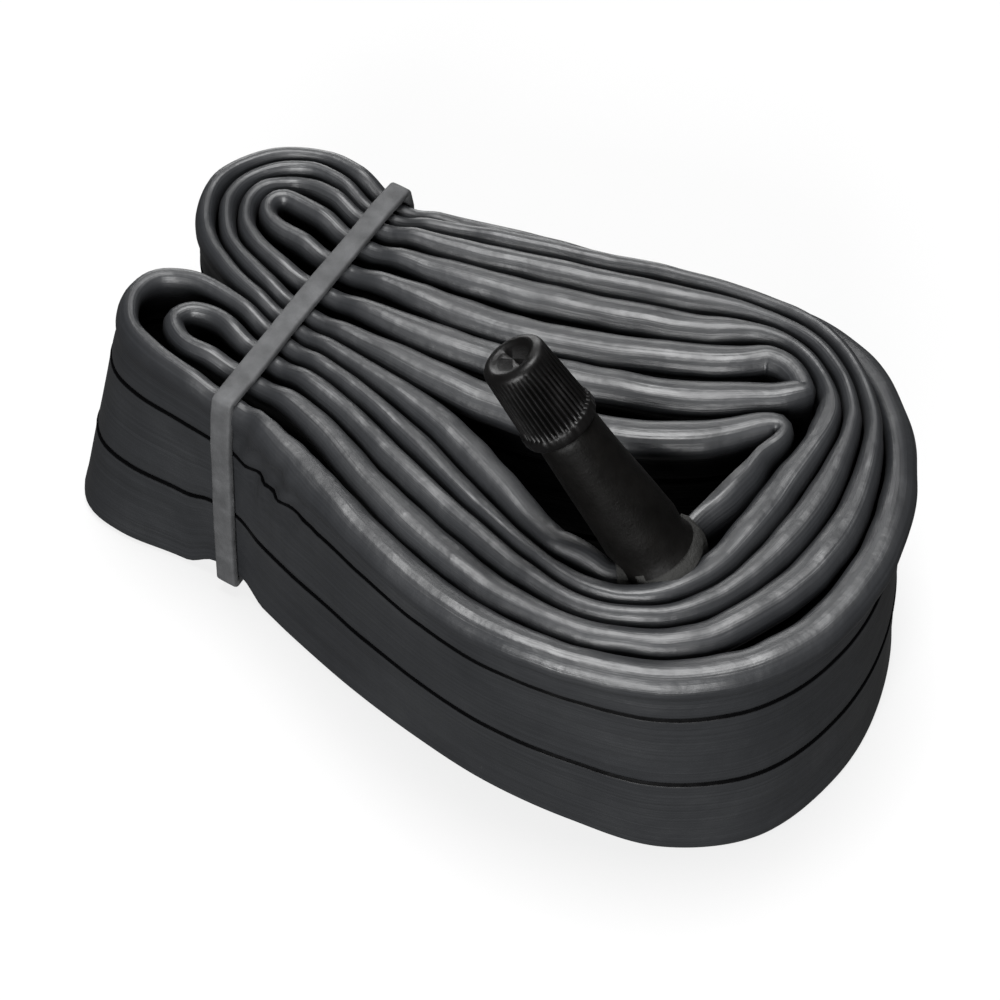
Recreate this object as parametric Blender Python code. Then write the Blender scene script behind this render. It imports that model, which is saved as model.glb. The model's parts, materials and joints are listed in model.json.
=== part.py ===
"""Bicycle inner tube, laid flat, folded into twelve lanes and held by a rubber band, with its valve and cap."""

import math

import bmesh
import bpy
import numpy as np
from mathutils import Matrix, Vector

MM = 0.001

# Overall size of the folded pack, mm.
PACK_LENGTH = 110.0
PACK_WIDTH = 66.0
TUBE_HEIGHT = 37.0  # the tube's width when it lies flat, here standing on its edge

# Flattened tube.
HALF_WALLS = 1.0  # the two walls lie on each other, so half the strip is one wall
FOLD_LEAST_ROOM, FOLD_MOST = 1.45, 2.7  # the soft top fold's half-width, at the tight left and the loose right end
FOLD_DEPTH = 2.7  # how far below the crest the fold is widest
LANE_GAP = 0.3

# Rubber band.
BAND_X = -31.8
BAND_SLANT = -0.05  # mm of x for each mm of y, as the band lies slightly askew
BAND_WIDTH = 3.0
BAND_THICKNESS = 0.9
BAND_SQUEEZE = 0.9  # how far it presses the top folds down
BAND_LIFT = 1.4  # how far it draws the lower folds up off the floor

# Valve, measured along its own axis from the pad's face.
VALVE_LEAN = Vector((-0.53, -0.125, 0.839)).normalized()
VALVE_RISE = 1.3  # pad face above the tube's crest
COVER_LENGTH = 23.0
COVER_R = 4.15
COVER_BASE_R = 5.0
THREAD_R = 3.6  # mean radius of the cap thread
THREAD_LENGTH = 9.0
CORE_R = 2.6  # mean radius of the core thread
BARREL_R = 1.95
PIN_R = 0.5
PIN_TRAVEL = 1.6
FIT = 0.15  # radial gap between the valve's small pieces
PAD_WALL = 0.6
PAD_FOLD = 1.7  # half-width of the tube's fold under the pad
PAD_BEFORE, PAD_AFTER = 5.5, 6.5
PAD_DEPTH = 9.0

# Cap.
CAP_LENGTH = 12.0
CAP_FLANGE_R = 5.0
CAP_BASE_R = 4.75
CAP_TOP_R = 4.2
CAP_RIBS = 24

# Thread pitch of the cap, for the joint: 32 turns to the inch.
CAP_PITCH = 25.4 / 32

ROUND = 20
STATION_STEP = 1.6

# Where each lane crosses the band, front to back.
LANES = (-20.4, -15.8, -11.7, -8.3, -5.5, -2.7, 1.6, 6.4, 11.0, 14.8, 17.3, 19.9)
LANE_LEANS = {1: -2.2}
LANE_DIPS = {11: 0.7, 12: 1.5}

# The route of the top fold, as legs from one crossing of the band to the next. A point is x, y, and where the
# strip leans or dips also how far its lower edge stands out in x and y, how far its crest lies low, and, from 0
# to 1, how much of the lean comes at once below the crest.
LEGS = (
    # Right loop from lane 1 round to lane 12, the outermost.
    (1, ((-27, -20.6, 0, -2.8, 0, 0.8), (-18.5, -22.7, 0, -3.1, 0, 1), (-7.5, -27.4, 0, -1, 0, 0.6), (4, -31, 0, 0.8),
         (15.5, -32.5, 0, 1.4), (27.5, -31, 0, 0.8), (39, -26.5, 0.6, -0.9), (47.5, -18, 1.5, -1.3),
         (51, -7, 1.5, 0), (50.5, 5, 1.2, 0), (46, 17, 0.8, 0.4, 1.2), (38, 27.3, 0, 0, 3.2),
         (27.5, 33.2, 0, 0, 4.6), (16, 33.2, 0, 0, 5.2), (4, 30.7, 0, 0, 5.2), (-7.5, 27.6, 0, 0, 4.6),
         (-19, 23.9, 0, 0, 3.4), (-26, 21.2, 0, 0, 2.2))),
    # Rear lobe, outermost fold.
    (12, ((-37, 20.6), (-43.5, 21), (-50.2, 17.5, -1, 0), (-54, 9.5, -1.5, 0), (-50.6, 2, -1, 0), (-42, -3))),
    # Valve leg and the lower right hairpin.
    (5, ((-19, -7), (-6.5, -9), (5, -13), (14, -16.8), (20.5, -18), (25, -16, 1.5, -1, 1.2),
         (27.8, -11.3, 3.5, 0, 2.3), (28.5, -4.6, 4.8, 0, 0.8, 0.7), (29.3, 0.6, 5, 0, 0.1, 1), (29.9, 5, 4.6, 0, 0, 1),
         (30.5, 9, 3, 0, 0, 0.7), (31.4, 11.5, 1, 0, 0, 0.3), (31.6, 13.3), (30.5, 14.3), (28.6, 13.4), (26.2, 10.8),
         (22.2, 7), (16.5, 3.4), (5.5, -0.7), (-6, -2.6), (-18.5, -3))),
    # Rear lobe, second fold.
    (6, ((-40.5, -0.8), (-47.2, 2.3), (-51.4, 8.8), (-50.6, 14), (-47, 17.9), (-41, 18.4))),
    # Right loop, second from outside, from lane 11 back to lane 2.
    (11, ((-19, 21.4, 0, 0, 0.5), (-7, 25, 0, 0, 0.3), (4.5, 28.2), (16.5, 30.8),
          (28, 31.2, 0, 0, 0.2), (38, 24.8, 0, 0, 0.5), (43.5, 13.5), (45.5, 1.5), (43.5, -10), (38, -20.5),
          (27.5, -26.5), (15.5, -27.4), (3.5, -25.5), (-8, -22), (-19, -17.5))),
    # Front lobe, inner fold.
    (2, ((-36.5, -15.7), (-41.8, -15.6, -0.5, -1), (-44.8, -13.3, -1.5, -1), (-43.8, -10.9, -1, 0), (-40.5, -9.9),
         (-36.2, -10.9))),
    # Right loop, third from outside.
    (3, ((-19.5, -13.1), (-7.5, -16.8), (4.5, -20), (16, -22.8), (25.5, -23.2), (33.5, -19.2), (38, -12), (40.2, -0.5),
         (39.8, 11.5), (36.2, 22.8), (28, 30), (15.5, 28.4), (4, 24.8), (-7.5, 21.2), (-19.5, 17.6))),
    # Rear lobe, third fold.
    (10, ((-40, 15.9), (-45.2, 15.6, -0.3, 0, 0.6), (-48.7, 12.4), (-48.6, 8.6), (-45.6, 4.4), (-39, 2.1))),
    # Upper right hairpin.
    (7, ((-19.5, 2), (-7.5, 3.8), (4.5, 7), (15.5, 11), (23.7, 15.6), (28.8, 19.3), (31, 21.8), (30.8, 24.3),
         (28.4, 25.9), (25.6, 25.5), (22.9, 23.6), (20, 21), (15, 18), (4.5, 13), (-7.5, 9.2), (-20, 7.4))),
    # Rear lobe, inner fold.
    (8, ((-38, 7), (-43, 7.3), (-45.6, 8.6), (-46.2, 10.4), (-45.2, 12), (-42.2, 12.3), (-37.5, 11.9))),
    # Right loop, innermost, from lane 9 back to lane 4.
    (9, ((-20, 12.9), (-8.5, 15.6), (2.5, 19), (12.5, 22.6), (20, 26.2), (27.6, 28.4), (33.4, 25.4),
         (35.6, 18), (35.8, 8), (36, -2), (34.8, -11.5), (31.2, -17.6), (25, -20.8), (14, -20.4), (2.5, -17),
         (-8.5, -13), (-19.5, -10))),
    # Front lobe, outer fold.
    (4, ((-39, -6.6, 0, 0.6), (-46.2, -6.4, -3.6, -0.3), (-50.6, -8.5, -5.4, -2), (-51.6, -12.4, -6, -5),
         (-49.2, -16.7, -5.4, -6), (-44.2, -18.9, -3.8, -5.2), (-38.4, -19.9, -1.2, -3.2))),
)
VALVE_POINT = (27.8, -11.3)


def clear_scene():
    for obj in list(bpy.data.objects):
        bpy.data.objects.remove(obj, do_unlink=True)


def material(name, colour, roughness, metallic=0.0):
    mat = bpy.data.materials.new(name)
    mat.use_nodes = True
    shader = mat.node_tree.nodes["Principled BSDF"]
    shader.inputs["Base Color"].default_value = (*colour, 1)
    shader.inputs["Roughness"].default_value = roughness
    shader.inputs["Metallic"].default_value = metallic
    return mat


def node(name, verts, faces, mat, smooth=True, at=None):
    """A mesh object from points in mm. Its origin goes to the point at, in mm."""
    origin = Vector(at or (0, 0, 0)) * MM
    mesh = bpy.data.meshes.new(name)
    mesh.from_pydata([Vector(v) * MM - origin for v in verts], [], faces)
    work = bmesh.new()
    work.from_mesh(mesh)
    bmesh.ops.recalc_face_normals(work, faces=work.faces)
    work.to_mesh(mesh)
    work.free()
    mesh.polygons.foreach_set("use_smooth", [smooth] * len(mesh.polygons))
    obj = bpy.data.objects.new(name, mesh)
    obj.location = origin
    bpy.context.scene.collection.objects.link(obj)
    if mat:
        mesh.materials.append(mat)
    return obj


def cut(obj, cutter, operation="DIFFERENCE"):
    cutter.hide_render = True
    cutter.display_type = "WIRE"
    boolean = obj.modifiers.new(operation.title() + "_" + cutter.name, "BOOLEAN")
    boolean.operation = operation
    boolean.solver = "EXACT"
    boolean.use_self = True
    boolean.object = cutter


def spline(control, step):
    """A closed smooth curve through the control rows, in even steps along its first two columns."""
    p0, p1, p2, p3 = (np.roll(control, k, axis=0) for k in (1, 0, -1, -2))
    t0 = np.linalg.norm((p1 - p0)[:, :2], axis=1)[:, None] ** 0.5
    t1 = np.linalg.norm((p2 - p1)[:, :2], axis=1)[:, None] ** 0.5
    t2 = np.linalg.norm((p3 - p2)[:, :2], axis=1)[:, None] ** 0.5
    m1 = t1 * ((p1 - p0) / t0 - (p2 - p0) / (t0 + t1) + (p2 - p1) / t1)
    m2 = t1 * ((p2 - p1) / t1 - (p3 - p1) / (t1 + t2) + (p3 - p2) / t2)
    t = np.linspace(0, 1, 12, endpoint=False)[:, None, None]
    rows = (2 * t**3 - 3 * t**2 + 1) * p1 + (t**3 - 2 * t**2 + t) * m1
    rows = rows + (3 * t**2 - 2 * t**3) * p2 + (t**3 - t**2) * m2
    rows = rows.transpose(1, 0, 2).reshape(-1, control.shape[1])
    return even(rows, step)


def even(rows, step):
    ends = np.vstack([rows, rows[:1]])
    run = np.r_[0, np.cumsum(np.linalg.norm(np.diff(ends[:, :2], axis=0), axis=1))]
    at = np.linspace(0, run[-1], int(round(run[-1] / step)), endpoint=False)
    return np.stack([np.interp(at, run, ends[:, k]) for k in range(rows.shape[1])], axis=1)


def normals(points):
    tangent = np.roll(points, -1, axis=0) - np.roll(points, 1, axis=0)
    tangent /= np.linalg.norm(tangent, axis=1)[:, None]
    return tangent, np.stack([-tangent[:, 1], tangent[:, 0]], axis=1)


def neighbours(points, step):
    """For each pair of stations on different lanes that lie side by side, how far the second is to the left."""
    tangent, left = normals(points)
    apart = points[None] - points[:, None]
    along = np.abs(np.einsum("ijk,ik->ij", apart, tangent))
    across = np.einsum("ijk,ik->ij", apart, left)
    count = len(points)
    hops = np.abs(np.arange(count)[:, None] - np.arange(count)[None])
    hops = np.minimum(hops, count - hops)
    beside = (along < 1.3 * step) & (hops * step > 8) & (np.abs(across) < 9)
    return np.where(beside, across, np.inf), left


def half_widths(points, valve):
    """Half the room each station takes: the strip, or the wider pad near the valve."""
    near = np.linalg.norm(points - valve, axis=1)
    wide = HALF_WALLS + (PAD_FOLD + PAD_WALL + 2 * LANE_GAP - HALF_WALLS) * np.clip((14 - near) / 5, 0, 1)
    return np.where(on_valve_leg(points, valve), wide, HALF_WALLS)


def on_valve_leg(points, valve):
    """Stations near the valve and reached along the tube from it."""
    start = int(np.argmin(np.linalg.norm(points - valve, axis=1)))
    count = len(points)
    hops = np.abs(np.arange(count) - start)
    return np.minimum(hops, count - hops) * STATION_STEP < 26


def settle(rows, valve):
    """Pushes lanes that lie too close apart, until each has its own thickness and a small gap."""
    rows = rows.copy()
    wanted = rows[:, :2].copy()
    for _ in range(150):
        points = rows[:, :2]
        across, left = neighbours(points, STATION_STEP)
        half = half_widths(points, valve)
        room = half[:, None] + half[None] + LANE_GAP
        short = np.where(np.abs(across) < room, (room - np.abs(across)) * -np.sign(across), 0)
        push = np.where(np.abs(short.max(1)) > np.abs(short.min(1)), short.max(1), short.min(1))
        both = short.max(1) * (short.max(1) > 0) + short.min(1) * (short.min(1) < 0)
        push = np.where((short.max(1) > 0) & (short.min(1) < 0), both, push)
        held = np.linalg.norm(points - valve, axis=1) < 7
        push = np.where(held & on_valve_leg(points, valve), 0, push)
        moved = points + left * (0.5 * push)[:, None]
        mean = (np.roll(moved, 1, axis=0) + np.roll(moved, -1, axis=0)) / 2
        touched = (np.abs(push) > 0.01)[:, None]
        moved = np.where(touched, moved * 0.8 + mean * 0.2, moved)
        rows[:, :2] = moved + (wanted - moved) * 0.01
    return rows


def bump(distance, flat, reach):
    """One inside flat, falling smoothly to nothing over the next reach."""
    t = np.clip((np.abs(distance) - flat) / reach, 0, 1)
    return 1 - t * t * (3 - 2 * t)


def route():
    """Rows of x, y, lower edge's lean in x and y, crest dip and early lean, all round the tube."""
    sx, sy = PACK_LENGTH / 110.0, PACK_WIDTH / 66.0
    control = []
    for lane, points in LEGS:
        y = LANES[lane - 1]
        control.append((BAND_X + BAND_SLANT * y, y, 0, LANE_LEANS.get(lane, 0), LANE_DIPS.get(lane, 0), 0.5))
        control += [tuple(p) + (0,) * (6 - len(p)) for p in points]
    control = np.array(control, float) * (sx, sy, sx, sy, 1, 1)
    valve = np.array(VALVE_POINT) * (sx, sy)
    return settle(spline(control, STATION_STEP), valve), valve


def off_band(points):
    """How far each point is from the middle of the band's track, along x."""
    sx, sy = PACK_LENGTH / 110.0, PACK_WIDTH / 66.0
    return points[:, 0] - sx * (BAND_X + BAND_SLANT * points[:, 1] / sy)


def thin_out(rows, valve):
    """Keeps close stations in bends, at the band and at the valve, and fewer on long easy runs."""
    points = rows[:, :2]
    tangent, _ = normals(points)
    aside = off_band(points)
    keep, last = [0], 0
    for i in range(1, len(points)):
        turn = math.acos(max(-1.0, min(1.0, float(tangent[i] @ tangent[last]))))
        busy = abs(aside[i]) < 7.5
        busy = busy or np.linalg.norm(points[i] - valve) < 11
        if busy or turn > math.radians(13) or (i - last) * STATION_STEP > 8:
            keep.append(i)
            last = i
    return keep


def fold_widths(points, valve):
    """Half-widths of the soft top fold on the left and right of each station."""
    across, _ = neighbours(points, STATION_STEP)
    left = np.where(across > 0, across, np.inf).min(1)
    right = np.where(across < 0, -across, np.inf).min(1)
    ease = np.clip((off_band(points) - 3) / 14, 0, 1)
    most = FOLD_LEAST_ROOM + (FOLD_MOST - FOLD_LEAST_ROOM) * ease * ease * (3 - 2 * ease)
    crisp = on_valve_leg(points, valve) & (points[:, 1] > valve[1])
    most = np.where(crisp, np.minimum(most, PAD_FOLD), most)
    pair = []
    for gap in (left, right):
        room = np.clip(gap / 2 - LANE_GAP / 2, HALF_WALLS, most)
        soft = np.minimum(room, (np.roll(room, 1) + np.roll(room, -1) + np.roll(room, 2) + np.roll(room, -2)) / 4)
        pair.append(soft)
    near = on_valve_leg(points, valve) & (np.linalg.norm(points - valve, axis=1) < 13)
    return [np.where(near, PAD_FOLD, side) for side in pair]


class Tube:
    """The tube's stations, shared by the tube itself and the pad that sits over its edge."""

    def __init__(self):
        self.rows, self.valve = route()
        points = self.rows[:, :2]
        _, self.left = normals(points)
        self.fold = fold_widths(points, self.valve)
        pinch = bump(off_band(points), BAND_WIDTH / 2 + 1, 4)
        self.power = 0.95 - 0.6 * self.rows[:, 5]
        self.top = TUBE_HEIGHT - self.rows[:, 4] - BAND_SQUEEZE * pinch
        self.bottom = (BAND_THICKNESS + LANE_GAP + BAND_LIFT) * pinch

    def at(self, i, u, v, above=0.0):
        """A point u mm left of the strip's middle, at the share v of its height, and above more mm up."""
        x, y, lean_x, lean_y = self.rows[i][:4]
        lean = max(0.0, 1 - v) ** self.power[i]
        z = self.bottom[i] + v * (self.top[i] - self.bottom[i]) + above
        return (x + self.left[i][0] * u + lean_x * lean, y + self.left[i][1] * u + lean_y * lean, z)

    def nearest(self, point):
        return int(np.argmin(np.linalg.norm(self.rows[:, :2] - point, axis=1)))


def sweep(rings, closed):
    """Vertices and faces of equal rings joined one to the next, with ends capped unless closed."""
    count = len(rings[0])
    verts = [v for ring in rings for v in ring]
    faces = []
    for i in range(len(rings) - (not closed)):
        a, b = i * count, (i + 1) % len(rings) * count
        faces += [(a + k, a + (k + 1) % count, b + (k + 1) % count, b + k) for k in range(count)]
    if not closed:
        faces += [tuple(range(count)), tuple(range(len(verts) - count, len(verts)))]
    return verts, faces


def make_tube(tube, mat):
    rings = []
    deep = FOLD_DEPTH / TUBE_HEIGHT
    for i in thin_out(tube.rows, tube.valve):
        a, b = tube.fold[0][i], tube.fold[1][i]
        rings.append([
            tube.at(i, -HALF_WALLS, 0), tube.at(i, HALF_WALLS, 0),
            tube.at(i, HALF_WALLS, 1 - 3.4 * deep), tube.at(i, a, 1 - deep), tube.at(i, a * 0.62, 1 - 0.17 * deep),
            tube.at(i, -b * 0.62, 1 - 0.17 * deep), tube.at(i, -b, 1 - deep), tube.at(i, -HALF_WALLS, 1 - 3.4 * deep),
        ])
    return node("tube", *sweep(rings, True), mat)


def make_pad(tube, mat):
    """Reinforcing pad, bent over the tube's edge at the valve."""
    here = tube.nearest(tube.valve)
    first, last = -round(PAD_BEFORE / STATION_STEP), round(PAD_AFTER / STATION_STEP)
    deep, low = FOLD_DEPTH / TUBE_HEIGHT, 1 - PAD_DEPTH / TUBE_HEIGHT
    gap, out = LANE_GAP, LANE_GAP + PAD_WALL
    fold = PAD_FOLD
    rings = []
    for hop in range(first, last + 1):
        i = (here + hop) % len(tube.rows)
        inner = [(HALF_WALLS + gap, low, 0), (fold + gap, 1 - deep, 0), (fold * 0.62 + gap, 1 - 0.17 * deep, gap)]
        outer = [(HALF_WALLS + out, low, 0), (fold + out, 1 - deep, 0), (fold * 0.62 + out * 0.6, 1, out)]
        ring = [tube.at(i, -u, v, up) for u, v, up in outer]
        ring += [tube.at(i, u, v, up) for u, v, up in outer[::-1]]
        ring += [tube.at(i, u, v, up) for u, v, up in inner]
        ring += [tube.at(i, -u, v, up) for u, v, up in inner[::-1]]
        rings.append(ring)
    return node("valve_pad", *sweep(rings, False), mat)


def ring_solid(name, levels, frame, mat, count=ROUND, ribs=None, smooth=True, outer=0):
    """A solid turned about the valve's axis. levels are closed loops of (radius, height); a level whose index is
    below outer takes the ribs, a pattern of radius changes round the ring."""
    origin, turn = frame
    verts, faces = [], []
    for k in range(count):
        angle = 2 * math.pi * k / count
        for j, (r, s) in enumerate(levels):
            if ribs and ribs[0] <= j <= ribs[1] and k % 2:
                r -= ribs[2]
            verts.append(origin + turn @ Vector((r * math.cos(angle), r * math.sin(angle), s)))
    n = len(levels)
    for k in range(count):
        a, b = k * n, (k + 1) % count * n
        faces += [(a + j, a + (j + 1) % n, b + (j + 1) % n, b + j) for j in range(n)]
    return node(name, verts, faces, mat, smooth, at=origin)


def full_solid(name, levels, frame, mat, count=ROUND, ribs=None, smooth=True):
    """As ring_solid, for a profile that starts and ends on the axis."""
    origin, turn = frame
    inner = levels[1:-1]
    verts = [origin + turn @ Vector((0, 0, levels[0][1])), origin + turn @ Vector((0, 0, levels[-1][1]))]
    for k in range(count):
        angle = 2 * math.pi * k / count
        for j, (r, s) in enumerate(inner):
            if ribs and ribs[0] <= j <= ribs[1] and k % 2:
                r -= ribs[2]
            verts.append(origin + turn @ Vector((r * math.cos(angle), r * math.sin(angle), s)))
    n, faces = len(inner), []
    for k in range(count):
        a, b = 2 + k * n, 2 + (k + 1) % count * n
        faces += [(a + j, a + j + 1, b + j + 1, b + j) for j in range(n - 1)]
        faces += [(0, a, b), (1, b + n - 1, a + n - 1)]
    return node(name, verts, faces, mat, smooth, at=origin)


def valve_frame(tube):
    """Origin and turn of the valve's own axes, the third along the stem."""
    i = tube.nearest(tube.valve)
    top = tube.top[i] + VALVE_RISE
    turn = VALVE_LEAN.to_track_quat("Z", "Y").to_matrix()
    return Vector((*tube.rows[i][:2], top)), turn


def make_stem(frame, rubber, brass):
    shank, bore = THREAD_R - 0.7, BARREL_R + FIT
    mouth = COVER_LENGTH + THREAD_LENGTH
    step = mouth - 5.0
    ring_solid("stem_cover", [
        (shank + FIT, 0.25), (COVER_BASE_R, 0.25), (COVER_BASE_R - 0.15, 1.2), (COVER_R + 0.25, 6),
        (COVER_R, COVER_LENGTH - 0.6), (COVER_R - 0.4, COVER_LENGTH), (shank + FIT, COVER_LENGTH)], frame, rubber, 24)
    ring_solid("stem_insert", [
        (bore - 0.25, -3.3), (COVER_R - 0.5, -3.3), (COVER_R - 0.5, -2.65), (shank, -2.65),
        (shank, COVER_LENGTH + 0.25), (THREAD_R, COVER_LENGTH + 0.6), (THREAD_R, mouth - 0.4),
        (THREAD_R - 0.35, mouth), (CORE_R + FIT, mouth), (CORE_R + FIT, step), (bore, step - 0.8),
        (bore, mouth - 11.4), (bore - 0.25, mouth - 11.8)], frame, brass)


def make_core(frame, brass, steel, seal):
    """The screwed-in core: a body in two turning pieces, a spring inside, and a pin that pulls a cup shut."""
    mouth = COVER_LENGTH + THREAD_LENGTH
    top, low = mouth - 0.6, mouth - 4.6
    ring_solid("core_swivel", [
        (PIN_R + 0.3, low), (CORE_R - 0.3, low), (CORE_R, low + 0.4), (CORE_R, top - 1.6),
        (CORE_R - 0.6, top - 1.4), (CORE_R - 0.6, top), (PIN_R + 0.3, top)], frame, brass)
    foot = mouth - 13.6
    ring_solid("core_barrel", [
        (PIN_R + 0.3, foot), (BARREL_R - 0.5, foot), (BARREL_R - 0.5, foot + 4.0), (BARREL_R, foot + 4.4),
        (BARREL_R, low - 0.2), (BARREL_R - 0.45, low - 0.2), (BARREL_R - 0.45, foot + 4.4),
        (BARREL_R - 0.85, foot + 4.2), (BARREL_R - 0.85, foot + 0.6), (PIN_R + 0.3, foot + 0.6)], frame, brass)
    ring_solid("barrel_washer", [
        (BARREL_R - 0.35, foot + 2.4), (BARREL_R, foot + 2.4), (BARREL_R + 0.03, foot + 3.0),
        (BARREL_R, foot + 3.8), (BARREL_R - 0.35, foot + 3.8)], frame, seal)
    collar = low - 0.7
    full_solid("core_pin", [
        (0, foot - 4.6), (PIN_R, foot - 4.6), (PIN_R, collar - 0.7), (BARREL_R - 0.6, collar - 0.7),
        (BARREL_R - 0.6, collar), (PIN_R, collar), (PIN_R, top + 0.2), (0, top + 0.4)], frame, steel, 12)
    ring_solid("core_cup", [
        (PIN_R + 0.12, foot - 2.7), (BARREL_R - 0.6, foot - 2.7), (BARREL_R - 0.35, foot - 1.5),
        (PIN_R + 0.12, foot - 1.5)], frame, brass, 16)
    ring_solid("plunger_washer", [
        (PIN_R + 0.12, foot - 1.4), (BARREL_R - 0.4, foot - 1.4), (BARREL_R - 0.4, foot - 0.15),
        (PIN_R + 0.12, foot - 0.15)], frame, seal, 16)
    make_spring(frame, foot + 4.5, collar - 0.85, steel)


def make_spring(frame, low, high, mat):
    origin, turn = frame
    turns, steps, wire, mean = 5, 10, 0.14, BARREL_R - 0.8
    rings = []
    for k in range(turns * steps + 1):
        angle = 2 * math.pi * k / steps
        share = k / (turns * steps)
        height = low + wire + (high - low - 2 * wire) * share
        radial = Vector((math.cos(angle), math.sin(angle), 0))
        ring = []
        for j in range(5):
            a = 2 * math.pi * j / 5
            ring.append(origin + turn @ (radial * (mean + wire * math.cos(a)) + Vector((0, 0, height + wire * math.sin(a)))))
        rings.append(ring)
    node("core_spring", *sweep(rings, False), mat, at=origin)


def make_cap(frame, plastic, seal):
    base = COVER_LENGTH + 0.3
    mouth = COVER_LENGTH + THREAD_LENGTH
    top = base + CAP_LENGTH
    bore = THREAD_R + FIT
    full_solid("cap_shell", [
        (0, top), (CAP_TOP_R * 0.55, top - 0.05), (CAP_TOP_R - 0.8, top - 0.25), (CAP_TOP_R, top - 1.0),
        (CAP_BASE_R, base + 1.9), (CAP_FLANGE_R, base + 1.6), (CAP_FLANGE_R, base + 0.3),
        (CAP_FLANGE_R - 0.3, base), (bore, base), (bore, mouth + 1.4), (0, mouth + 1.4)],
        frame, plastic, 2 * CAP_RIBS, ribs=(2, 3, 0.22), smooth=False)
    full_solid("cap_gasket", [
        (0, mouth + 0.25), (bore - 0.25, mouth + 0.25), (bore - 0.25, mouth + 1.2), (0, mouth + 1.2)],
        frame, seal)


def hull(points):
    """The convex outline round flat points, counter-clockwise."""
    points = sorted(set(points))
    chains = []
    for run in (points, points[::-1]):
        chain = []
        for p in run:
            while len(chain) > 1:
                (ax, ay), (bx, by) = chain[-2], chain[-1]
                if (bx - ax) * (p[1] - ay) - (by - ay) * (p[0] - ax) > 1e-9:
                    break
                chain.pop()
            chain.append(p)
        chains.append(chain[:-1])
    return chains[0] + chains[1]


def make_band(tube, mat):
    """The rubber band: a stretched loop round all the lanes, in a plane across the pack."""
    sx, sy = PACK_LENGTH / 110, PACK_WIDTH / 66
    corners = []
    for i in np.flatnonzero(np.abs(off_band(tube.rows)) < BAND_WIDTH / 2 + 2 * STATION_STEP):
        y, lean, top, low = tube.rows[i][1], tube.rows[i][3], tube.top[i], BAND_THICKNESS + LANE_GAP + BAND_LIFT
        for reach in (tube.fold[0][i], -tube.fold[1][i]):
            side = math.copysign(HALF_WALLS, reach)
            corners += [(y + reach * 1.1, top - FOLD_DEPTH), (y + reach * 0.7, top)]
            for v in (0, 0.25, 0.5, 0.75):
                out = lean * (1 - v) ** tube.power[i]
                corners.append((y + side * 1.15 + out, low + v * (top - low)))
    outline = hull([(round(y, 2), round(z, 2)) for y, z in corners])
    rings, count = [], len(outline)
    for k in range(count):
        y, z = outline[k]
        before, after = outline[k - 1], outline[(k + 1) % count]
        start = math.atan2(before[0] - y, z - before[1])
        turn = (math.atan2(y - after[0], after[1] - z) - start) % (2 * math.pi)
        parts = max(1, round(turn / math.radians(30)))
        for part in range(parts + 1):
            a = start + turn * part / parts
            across, up = math.cos(a), math.sin(a)
            ring = [(LANE_GAP, -1), (LANE_GAP, 1), (LANE_GAP + BAND_THICKNESS, 1), (LANE_GAP + BAND_THICKNESS, -1)]
            middle = sx * (BAND_X + BAND_SLANT * (y / sy))
            rings.append([(middle + side * BAND_WIDTH / 2, y + r * across, z + r * up) for r, side in ring])
    return node("rubber_band", *sweep(rings, True), mat)


def centre_all():
    """Puts the middle of the pack's plan over the origin."""
    body = bpy.data.objects["tube"]
    corners = [body.matrix_world @ Vector(c) for c in body.bound_box]
    xs, ys = [c.x for c in corners], [c.y for c in corners]
    shift = Vector((min(xs) + max(xs), min(ys) + max(ys), 0)) / 2
    for obj in bpy.data.objects:
        obj.location -= shift


def main():
    clear_scene()
    butyl = material("butyl_rubber", (0.035, 0.036, 0.038), 0.42)
    patch = material("pad_rubber", (0.075, 0.076, 0.074), 0.8)
    stem_rubber = material("stem_rubber", (0.03, 0.03, 0.03), 0.65)
    band = material("band_rubber", (0.16, 0.165, 0.17), 0.6)
    plastic = material("cap_plastic", (0.02, 0.02, 0.021), 0.5)
    seal = material("seal_rubber", (0.03, 0.03, 0.03), 0.55)
    brass = material("brass", (0.72, 0.53, 0.24), 0.32, 1.0)
    steel = material("pin_steel", (0.55, 0.56, 0.57), 0.3, 1.0)

    tube = Tube()
    frame = valve_frame(tube)
    body = make_tube(tube, butyl)
    pad = make_pad(tube, patch)
    bore = THREAD_R - 0.7 + FIT
    seat = ring_solid("pad_seat", [(bore, -2.4), (4.3, -2.4), (4.8, 0), (bore, 0)], frame, patch, 24)
    cut(pad, full_solid("pad_room", [(0, -0.1), (8, -0.1), (8, 9), (0, 9)], frame, None, 20))
    cut(pad, full_solid("pad_hollow", [(0, -9), (3.9, -9), (3.9, 0.5), (0, 0.5)], frame, None, 20))
    cut(pad, seat, "UNION")
    cut(body, full_solid("tube_room", [(0, -3.6), (5.2, -3.6), (5.2, 9), (0, 9)], frame, None, 20))
    make_stem(frame, stem_rubber, brass)
    make_core(frame, brass, steel, seal)
    make_cap(frame, plastic, seal)
    make_band(tube, band)
    bpy.context.view_layer.update()
    centre_all()


main()
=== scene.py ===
"""The looks of a folded bicycle inner tube: detailed rubber, valve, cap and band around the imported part."""

import json
import math

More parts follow.
